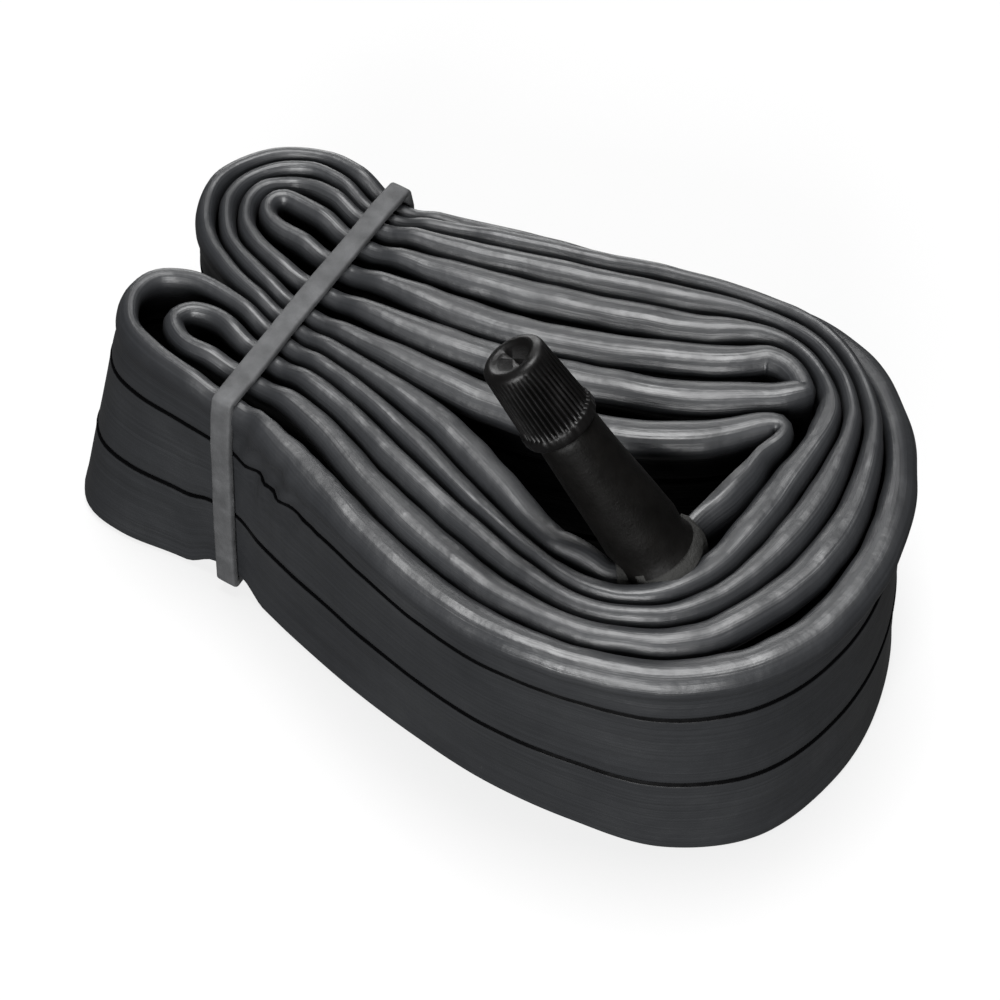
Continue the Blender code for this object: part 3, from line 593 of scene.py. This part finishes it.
def shape_creases(verts):
    """Puckers beside the band on the front lane, and a few shallow dents along the outer wall."""
    x, y, z = verts[..., 0], verts[..., 1], verts[..., 2]
    past = x - BAND_X
    window = np.clip((past - 2) / 3, 0, 1) * np.clip((20 - past) / 8, 0, 1) * (y < 0)
    high = np.clip((z - 17) / 8, 0, 1) * np.clip((TUBE_HEIGHT + 1 - z) / 5, 0, 1)
    fold = np.sin((past * 0.8 + (TUBE_HEIGHT - z) * 0.62) * 0.95) ** 3
    fold = fold + 0.5 * np.sin(past * 1.7 - z * 0.5 + 1)
    push = 0.42 * window * high * fold
    dents = ((9, -27, 30, 5, 3), (26, -31, 25, 6, 2.5), (-14, -23, 22, 5, 3), (50, 6, 29, 6, 3))
    for cx, cy, cz, long, tall in dents:
        far = ((x - cx) / long) ** 2 + ((y - cy) / long) ** 2 + ((z - cz) / tall) ** 2
        push = push - 0.4 * np.exp(-far)
    push = push * (ROUTE.run < OUTER_RUN)[:, None]
    verts[..., 0] -= ROUTE.left[:, None, 0] * push
    verts[..., 1] -= ROUTE.left[:, None, 1] * push
    return verts


# Turned pieces ------------------------------------------------------------------------------------


def on_axis(radius, angle, height):
    """A point about the valve's axis, in mm in the CAD's frame."""
    return ORIGIN + TURN @ Vector((radius * math.cos(angle), radius * math.sin(angle), height))


def turned(name, profile, mat, body, count=96, closed=True, change=None, sharp=38):
    """A piece turned about the valve's axis from (radius, height) points, which change() may move.

    change takes the angle, the point's place in the profile, its radius and its height.
    """
    n = len(profile)
    verts = []
    for k in range(count):
        a = 2 * math.pi * k / count
        for j, (r, s) in enumerate(profile):
            if change:
                r, s = change(a, j, r, s)
            verts.append(on_axis(r, a, s))
    faces = grid_faces(count, n, True, closed)
    if not closed:
        first = len(verts)
        verts += [on_axis(0, 0, s) for s in (profile[0][1], profile[-1][1])]
        for k in range(count):
            m = (k + 1) % count
            faces += [(first, m * n, k * n), (first + 1, k * n + n - 1, m * n + n - 1)]
    return mesh_piece(name, verts, faces, mat, body, sharp=sharp, shift=False)


def make_stem(mat_cover, mat_brass):
    shank = THREAD_R - 0.7
    phase = np.random.default_rng(8).uniform(0, 7, 2)

    def soft(a, j, r, s):
        if r < COVER_R - 0.9:
            return r, s
        swell = 0.05 * math.sin(2 * a + s * 0.21 + phase[0]) + 0.03 * math.sin(5 * a - s * 0.5 + phase[1])
        return r + swell * min(1, max(0, s - 0.3)), s

    foot = [(COVER_BASE_R + 0.35, 0.1), (COVER_BASE_R + 0.1, 0.9), (COVER_BASE_R - 0.1, 2),
            (COVER_R + 1.0, 4)]
    taper = [(COVER_R + 0.85 - 0.8 * t, 6 + (COVER_LENGTH - 7.4) * t)
             for t in (0, 0.15, 0.3, 0.45, 0.6, 0.75, 0.9, 1)]
    head = [(COVER_R - 0.05, COVER_LENGTH - 0.7), (COVER_R - 0.2, COVER_LENGTH - 0.3),
            (COVER_R - 0.5, COVER_LENGTH - 0.05), (COVER_R - 0.8, COVER_LENGTH), (shank + FIT, COVER_LENGTH),
            (shank + FIT, 0.3)]
    cover = turned("visual_stem_cover", foot + taper + head, mat_cover, "bundle", change=soft)
    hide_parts("stem_cover")
    body = [(shank - 0.5, -3.3), (COVER_R - 0.5, -3.3), (COVER_R - 0.5, -2.65), (shank, -2.65),
            (shank, COVER_LENGTH + 0.2), (THREAD_R - 0.55, COVER_LENGTH + 0.3),
            (THREAD_R - 0.45, MOUTH - 0.5), (THREAD_R - 0.75, MOUTH - 0.05),
            (CORE_R + FIT + 0.1, MOUTH), (CORE_R + FIT, MOUTH - 0.15), (CORE_R + FIT, MOUTH - 5.0),
            (BARREL_R + FIT, MOUTH - 5.8), (BARREL_R + FIT, MOUTH - 11.4), (BARREL_R - 0.1, MOUTH - 11.8)]
    insert = turned("visual_stem_insert", body, mat_brass, "bundle", count=64)
    thread = screw_thread("visual_cap_thread", THREAD_R - 0.5, 0.47, CAP_PITCH, COVER_LENGTH + 0.5,
                          MOUTH - 0.35, mat_brass)
    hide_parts("stem_insert")


def screw_thread(name, root, height, pitch, low, high, mat, steps=36):
    """A helical ridge with a triangular section, faded out at both ends."""
    total = int((high - low) / pitch * steps)
    verts = []
    for k in range(total + 1):
        a = 2 * math.pi * k / steps
        s = low + pitch * k / steps
        fade = min(1, k / (steps * 0.5), (total - k) / (steps * 0.5))
        tip, base = root + height * fade, root - 0.1
        near, wide = root + height * fade * 0.86, 0.48 * pitch * max(fade, 0.15)
        section = ((base, -wide), (near, -0.09 * pitch), (tip, 0), (near, 0.09 * pitch), (base, wide))
        verts += [on_axis(r, a, s + ds) for r, ds in section]
    faces = grid_faces(total + 1, 5, False, True) + end_faces(len(verts), 5)
    return mesh_piece(name, verts, faces, mat, "bundle", shift=False)


def end_faces(total, count):
    """The two faces that close a run of rings."""
    return [tuple(range(count)), tuple(range(total - count, total))]


def make_cap(mat):
    top, knurls, knurl_depth = CAP_BASE + CAP_LENGTH, 40, 0.42
    profile = [(0.001, top - 0.45), (1.0, top - 0.45), (2.0, top - 0.42), (2.5, top - 0.35),
               (2.75, top - 0.08), (2.95, top), (3.25, top - 0.02), (CAP_TOP_R - 0.45, top - 0.2),
               (CAP_TOP_R - 0.12, top - 0.55), (CAP_TOP_R, top - 1.0)]
    first = len(profile)
    for k in range(1, 9):
        t = k / 8
        profile.append((CAP_TOP_R + (CAP_BASE_R - CAP_TOP_R) * t, top - 1.0 - (CAP_LENGTH - 1.0 - 1.95) * t))
    last = len(profile)
    profile += [(CAP_FLANGE_R - 0.1, CAP_BASE + 1.75), (CAP_FLANGE_R, CAP_BASE + 1.5),
                (CAP_FLANGE_R, CAP_BASE + 0.4), (CAP_FLANGE_R - 0.12, CAP_BASE + 0.12),
                (CAP_FLANGE_R - 0.4, CAP_BASE), (CAP_BORE + 0.25, CAP_BASE), (CAP_BORE, CAP_BASE + 0.25),
                (CAP_BORE, MOUTH + 1.4), (0.001, MOUTH + 1.4)]

    def shape(a, j, r, s):
        """The mark in the top's dish, the knurl, and the flange's slight unevenness."""
        if 0 < j < 5:
            s -= 0.3 * max(0, 1 - abs(r * math.sin(a - 0.9)) / 0.45) * (r < 2.4)
        if first <= j < last:
            fade = min(1, (j - first + 0.6) / 1.5) * min(1, (last - j) / 1.2)
            wave = abs(math.sin(knurls * a / 2))
            r -= knurl_depth * fade * (1 - wave) ** 1.1
        elif last <= j < last + 3:
            r += 0.035 * math.sin(17 * a + 1) + 0.03 * math.sin(31 * a)
        return r, s

    cap = turned("visual_cap", profile, mat, "cap", count=knurls * 10, closed=False, change=shape, sharp=50)
    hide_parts("cap_shell")


def make_gasket(mat):
    ring = [(0.001, MOUTH + 0.25), (1.2, MOUTH + 0.3), (1.6, MOUTH + 0.45), (2.1, MOUTH + 0.3),
            (CAP_BORE - 0.4, MOUTH + 0.25), (CAP_BORE - 0.25, MOUTH + 0.4), (CAP_BORE - 0.25, MOUTH + 1.1),
            (CAP_BORE - 0.35, MOUTH + 1.2), (0.001, MOUTH + 1.2)]
    gasket = turned("visual_gasket", ring, mat, "seal", count=48, closed=False)
    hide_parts("cap_gasket")


def make_core(mat):
    """The core's top piece with its two flats and fine thread."""
    top, low, flat = MOUTH - 0.6, MOUTH - 4.6, 1.25
    profile = [(PIN_R + 0.3, low), (CORE_R - 0.35, low), (CORE_R - 0.3, low + 0.3),
               (CORE_R - 0.3, top - 1.75), (CORE_R - 0.6, top - 1.5), (CORE_R - 0.62, top - 0.15),
               (CORE_R - 0.8, top), (PIN_R + 0.45, top), (PIN_R + 0.3, top - 0.12)]

    def flats(a, j, r, s):
        if s > top - 1.6 and r > 1.5 and abs(math.cos(a)) * r > flat:
            r = flat / abs(math.cos(a))
        return r, s

    core = turned("visual_swivel", profile, mat, "bundle", count=72, change=flats, sharp=30)
    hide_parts("core_swivel")
    thread = screw_thread("visual_core_thread", CORE_R - 0.32, 0.3, CORE_PITCH, low + 0.4, top - 1.9, mat)


def make_spring(mat):
    """The core's spring round the valve's axis, built at one length; the real spring shortens as the pin goes
    down.
    """
    barrel_foot, swivel_foot = MOUTH - 13.6, MOUTH - 4.6
    low, high = barrel_foot + 4.5, swivel_foot - 0.7 - 0.85
    turns, steps, wire, mean, sides = 5, 28, 0.16, BARREL_R - 0.8, 8
    total = turns * steps + 1
    verts = []
    for k in range(total):
        a, share = 2 * math.pi * k / steps, k / (turns * steps)
        height = low + wire + (high - low - 2 * wire) * share
        for j in range(sides):
            b = 2 * math.pi * j / sides
            verts.append(on_axis(mean + wire * math.cos(b), a, height + wire * math.sin(b)))
    faces = grid_faces(total, sides, False, True) + end_faces(len(verts), sides)
    spring = mesh_piece("visual_spring", verts, faces, mat, "bundle", shift=False)
    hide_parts("core_spring")
    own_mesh(spring)


# Pad and band -------------------------------------------------------------------------------------


def pad_outline():
    """The pad's inside over the fold, left to right: distance across in mm and share of the tube's height."""
    deep, low = FOLD_DEPTH / TUBE_HEIGHT, 1 - PAD_DEPTH / TUBE_HEIGHT
    half = [(HALF_WALLS + 0.2, low)]
    for t in (0.3, 0.6, 0.85):
        half.append((HALF_WALLS + 0.2 + (PAD_FOLD - HALF_WALLS) * t, low + (1 - deep - low) * t))
    half.append((PAD_FOLD + 0.2, 1 - deep))
    for t in (0.4, 0.8, 1.15):
        half.append((PAD_FOLD * math.cos(t) + 0.15, 1 - deep + deep * math.sin(t) + 0.2 / TUBE_HEIGHT))
    half.append((0, 1 + 0.3 / TUBE_HEIGHT))
    return [(-u, v) for u, v in half] + half[-2::-1]


def make_pad(mat):
    """The moulded pad bent over the lane's fold under the valve, thinner towards its rim."""
    here = int(np.argmin(np.linalg.norm(ROUTE.rows[:, :2] - ROUTE.valve, axis=1)))
    first, last = -round(PAD_BEFORE / FINE_STEP), round(PAD_AFTER / FINE_STEP)
    deep = FOLD_DEPTH / TUBE_HEIGHT
    outline = pad_outline()
    dice = np.random.default_rng(4)
    verts = []
    for hop in range(first, last + 1):
        i = (here + hop) % len(ROUTE.rows)
        x, y, lean_x, lean_y = ROUTE.rows[i][:4]
        lift = PAD_WALL * (1 - 0.55 * math.exp(-min(hop - first, last - hop) / 1.2))
        wave = 0.5 * math.sin(hop * 0.9) + 0.3 * math.sin(hop * 2.1 + 1)
        outer, inner = [], []
        for k, (u, v) in enumerate(outline):
            edge = min(k, len(outline) - 1 - k)
            thick = lift * (1 - 0.5 * math.exp(-edge / 0.8)) + dice.uniform(-0.02, 0.02)
            if edge < 1:
                v += wave * 0.25 / TUBE_HEIGHT
            grow = np.sign(u) * thick * (0.35 if v > 1 - deep * 0.5 else 1)
            up = thick / TUBE_HEIGHT if v > 1 - deep * 0.9 else 0
            outer.append((u + grow, v + up))
            inner.append((u, v))
        for u, v in outer + inner[::-1]:
            lean = max(0.0, 1 - v) ** ROUTE.power[i]
            z = ROUTE.bottom[i] + v * (ROUTE.top[i] - ROUTE.bottom[i])
            left_x, left_y = ROUTE.left[i]
            verts.append((x + left_x * u + lean_x * lean, y + left_y * u + lean_y * lean, z))
    count = 2 * len(outline)
    faces = grid_faces(last - first + 1, count, False, True) + end_faces(len(verts), count)
    pad = mesh_piece("visual_pad", verts, faces, mat, "bundle", sharp=50)
    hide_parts("valve_pad")


def make_seat(mat):
    """The pad's uneven collar round the stem's foot."""

    def foot(a, j, r, s):
        if r > COVER_BASE_R - 0.2 and s > -1.9:
            r += 0.16 * math.sin(3 * a + 1) + 0.1 * math.sin(7 * a + 2)
        return r, s

    ring = [(THREAD_R - 0.5, -1.6), (5.5, -2.2), (5.75, -1.5), (5.6, -0.8), (5.3, -0.2), (5.1, 0.3),
            (4.95, 0.9), (4.7, 1.3), (4.4, 1.3), (THREAD_R - 0.5, 0.2)]
    seat = turned("visual_pad_seat", ring, mat, "bundle", count=72, change=foot)


def band_path():
    """The band's way round the lanes, in the plane across them: points and the directions outwards."""
    corners = []
    for i in np.flatnonzero(np.abs(off_band(ROUTE.rows)) < BAND_WIDTH / 2 + 1.6):
        y, lean, top = ROUTE.rows[i][1], ROUTE.rows[i][3], ROUTE.top[i]
        low = BAND_THICKNESS + LANE_GAP + BAND_LIFT
        for reach in (ROUTE.fold[i, 0], -ROUTE.fold[i, 1]):
            side = math.copysign(HALF_WALLS, reach)
            corners += [(y + reach * 1.02, top - FOLD_DEPTH), (y + reach * 0.6, top)]
            for v in (0, 0.25, 0.5, 0.75):
                corners.append((y + side * 1.05 + lean * (1 - v) ** ROUTE.power[i], low + v * (top - low)))
    outline = hull([(round(float(y), 2), round(float(z), 2)) for y, z in corners])
    path, count = [], len(outline)
    for k in range(count):
        here, before, after = (Vector(outline[(k + d) % count]) for d in (0, -1, 1))
        start = math.atan2(before.x - here.x, here.y - before.y)
        turn = (math.atan2(here.x - after.x, after.y - here.y) - start) % (2 * math.pi)
        parts = max(1, round(turn / math.radians(12)))
        for part in range(parts + 1):
            a = start + turn * part / parts
            path.append((here, Vector((math.cos(a), math.sin(a)))))
        straight = int((after - here).length / 1.2)
        out = Vector((math.cos(start + turn), math.sin(start + turn)))
        for m in range(1, straight):
            path.append((here.lerp(after, m / straight), out))
    return path


def make_band(mat):
    section = [(0.15, -1), (0.15, -0.4), (0.15, 0.4), (0.15, 1), (0.4, 1.03), (0.85, 1.03), (1.08, 0.97),
               (1.15, 0.85), (1.17, 0.4), (1.17, -0.4), (1.15, -0.85), (1.08, -0.97), (0.85, -1.03),
               (0.4, -1.03)]
    path = band_path()
    verts = []
    for k, (here, out) in enumerate(path):
        t = 2 * math.pi * k / len(path)
        wide = BAND_WIDTH / 2 * (0.97 + 0.025 * math.sin(3 * t) + 0.015 * math.sin(11 * t))
        sway = 0.12 * math.sin(2 * t + 1) + 0.06 * math.sin(7 * t)
        middle = BAND_X + BAND_SLANT * here.x + sway
        for r, side in section:
            verts.append((middle + side * wide, here.x + out.x * r, here.y + out.y * r))
    band = mesh_piece("visual_band", verts, grid_faces(len(path), len(section)), mat, "bundle", sharp=60)
    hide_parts("rubber_band")


# Studio -------------------------------------------------------------------------------------------


def area(name, place, size, power):
    """A white square lamp turned towards the bundle."""
    lamp = bpy.data.lights.new(name, "AREA")
    lamp.energy, lamp.size = power, size
    obj = bpy.data.objects.new(name, lamp)
    obj.location = place
    obj.rotation_euler = (Vector((0, 0, 0.02)) - Vector(place)).to_track_quat("-Z", "Y").to_euler()
    bpy.context.scene.collection.objects.link(obj)


def studio():
    scene = bpy.context.scene
    camera = bpy.data.cameras.new("camera")
    camera.lens, camera.sensor_width, camera.clip_start = 138.24, 36, 0.01
    holder = bpy.data.objects.new("camera", camera)
    target = Vector((7.605, -16.188, 37.0)) + SHIFT
    place = Vector((168.555, -264.030, 415.245)) + SHIFT
    holder.location = place * MM
    holder.rotation_euler = (target - place).to_track_quat("-Z", "Y").to_euler()
    scene.collection.objects.link(holder)
    scene.camera = holder
    scene.view_settings.view_transform = "Standard"
    world = bpy.data.worlds.new("studio")
    scene.world = world
    world.use_nodes = True
    back = world.node_tree.nodes["Background"]
    back.inputs["Color"].default_value = (1, 1, 1, 1)
    back.inputs["Strength"].default_value = 0.1
    area("overhead", (-0.05, 0.12, 0.75), 0.36, 17)
    area("front", (0.3, -0.75, 0.34), 0.5, 27)
    area("back", (-0.5, 0.65, 0.16), 0.5, 6)
    make_floor()


def make_floor():
    """A plain pale floor, just under the bundle, that lights nothing and isn't mirrored."""
    mesh = bpy.data.meshes.new("floor")
    mesh.from_pydata([(-2, -2, 0), (2, -2, 0), (2, 2, 0), (-2, 2, 0)], [], [(0, 1, 2, 3)])
    floor = bpy.data.objects.new("floor", mesh)
    bpy.context.scene.collection.objects.link(floor)
    mat, _, shader = new_material("floor_white", (0.07, 0.07, 0.07), 0.9, specular=0.05)
    shader.inputs["Emission Color"].default_value = (1, 1, 1, 1)
    shader.inputs["Emission Strength"].default_value = 0.75
    mesh.materials.append(mat)
    floor.location.z = -0.0002
    floor.visible_diffuse = floor.visible_glossy = False


def carry_over(looks):
    """Better finishes for the CAD nodes that stay as they are."""
    for name, mat in looks.items():
        for slot in frame["nodes"][name].material_slots:
            slot.material = mat


def main():
    studio()
    butyl_look = butyl()
    pad_look = rubber("pad_rubber_look", (0.009, 0.009, 0.0085), 0.75, grain=1500, depth=0.0003,
                      specular=0.12, spots=0.8)
    stem_look = rubber("stem_rubber_look", (0.0013, 0.0012, 0.0011), 0.5, grain=1500, specular=0.055)
    band_look = rubber("band_rubber_look", (0.028, 0.0285, 0.0295), 0.7, grain=2600, depth=0.00012,
                       specular=0.2)
    seal_look = rubber("seal_rubber_look", (0.02, 0.02, 0.02), 0.5)
    cap_look = rubber("cap_plastic_look", (0.0014, 0.0013, 0.0013), 0.38, grain=2400, depth=0.0001,
                      specular=0.1)
    brass_look = metal("brass_look", (0.74, 0.54, 0.25), 0.28)
    steel_look = metal("steel_look", (0.6, 0.6, 0.61), 0.28)
    make_tube(butyl_look)
    make_pad(pad_look)
    make_seat(pad_look)
    make_stem(stem_look, brass_look)
    make_core(brass_look)
    make_spring(steel_look)
    make_cap(cap_look)
    make_gasket(seal_look)
    make_band(band_look)
    carry_over({"core_barrel": brass_look, "barrel_washer": seal_look, "core_pin": steel_look,
                "core_cup": brass_look, "plunger_washer": seal_look})
    bpy.context.view_layer.update()


main()
